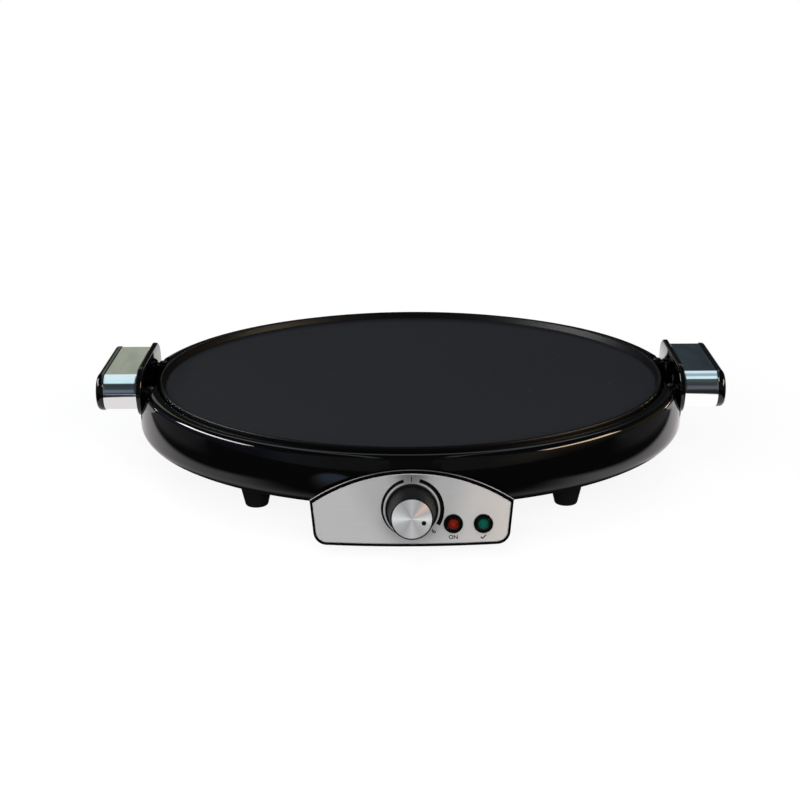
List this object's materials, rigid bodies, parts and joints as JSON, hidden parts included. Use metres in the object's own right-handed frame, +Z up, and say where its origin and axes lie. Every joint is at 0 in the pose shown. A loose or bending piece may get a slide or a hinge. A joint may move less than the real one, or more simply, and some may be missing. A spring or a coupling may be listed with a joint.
{
  "type": "electric pancake maker",
  "caption": "Round electric pancake maker with a rimmed non-stick plate in a black drum-shaped base, a handle on each side and a front control panel with a thermostat knob and indicator lamps.",
  "frame": {"origin": "on the counter, under the middle of the object's outline", "axes": "+Z up, control panel towards -Y, handles along X"},
  "size_m": [0.366, 0.3512, 0.0642],
  "materials": {
    "nonstick_coating": "cast aluminium under a matte charcoal non-stick coating",
    "element_steel": "heat-browned steel sheath",
    "zinc_steel": "zinc-plated steel",
    "shield_steel": "galvanised pressed sheet",
    "black_gloss": "polished black moulding",
    "painted_steel": "satin black stoved paint on pressed steel",
    "foot_plastic": "satin black moulding",
    "fascia_aluminium": "brushed along its length, printed in black",
    "thermostat_plastic": "off-white heat-proof moulding",
    "spindle_brass": "turned",
    "knob_plastic": "satin dark grey moulding",
    "cap_aluminium": "turned with fine concentric lines",
    "copper": "drawn copper tube",
    "red_lens": "clear red moulding, domed and faceted inside",
    "green_lens": "clear green moulding, domed and faceted inside",
    "holder_plastic": "natural heat-proof moulding",
    "wire_silicone": "silicone-insulated lead",
    "gland_rubber": "black moulded rubber",
    "chrome_sleeve": "polished chrome plate on bent steel",
    "core_plastic": "black moulding"
  },
  "bodies": {
    "base": {"cooking_plate": "nonstick_coating", "heating_element": "element_steel", "element_clamps": "zinc_steel", "clamp_screws": "zinc_steel", "heat_shield": "shield_steel", "upper_spacers": "zinc_steel", "lower_spacers": "zinc_steel", "plate_bolts": "zinc_steel", "base_shell": "black_gloss", "bottom_cover": "painted_steel", "cover_screws": "zinc_steel", "foot_front_left": "foot_plastic", "foot_front_right": "foot_plastic", "foot_rear_left": "foot_plastic", "foot_rear_right": "foot_plastic", "foot_screws": "zinc_steel", "control_housing": "black_gloss", "housing_screws": "zinc_steel", "fascia_plate": "fascia_aluminium", "thermostat_body": "thermostat_plastic", "thermostat_nut": "zinc_steel", "capillary": "copper", "bulb_clip": "zinc_steel", "power_lamp_bezel": "black_gloss", "power_lamp_lens": "red_lens", "power_lamp_holder": "holder_plastic", "ready_lamp_bezel": "black_gloss", "ready_lamp_lens": "green_lens", "ready_lamp_holder": "holder_plastic", "terminal_block": "holder_plastic", "thermal_fuse": "spindle_brass", "internal_wires": "wire_silicone", "cord_gland": "gland_rubber", "cord_clamp": "holder_plastic", "left_handle_bracket": "black_gloss", "left_handle_sleeve": "chrome_sleeve", "left_handle_core": "core_plastic", "left_handle_end_cap": "black_gloss", "left_handle_bolts": "zinc_steel", "left_bracket_screws": "zinc_steel", "right_handle_bracket": "black_gloss", "right_handle_sleeve": "chrome_sleeve", "right_handle_core": "core_plastic", "right_handle_end_cap": "black_gloss", "right_handle_bolts": "zinc_steel", "right_bracket_screws": "zinc_steel"},
    "knob": {"knob_body": "knob_plastic", "knob_cap": "cap_aluminium", "thermostat_spindle": "spindle_brass"}
  },
  "joints": [
    {"name": "knob_turn", "type": "hinge", "parent": "base", "child": "knob", "pos_m": [0, -0.15522, 0.02571], "axis": [0, -0.9945, 0.1045], "range_deg": [-25, 245]}
  ]
}
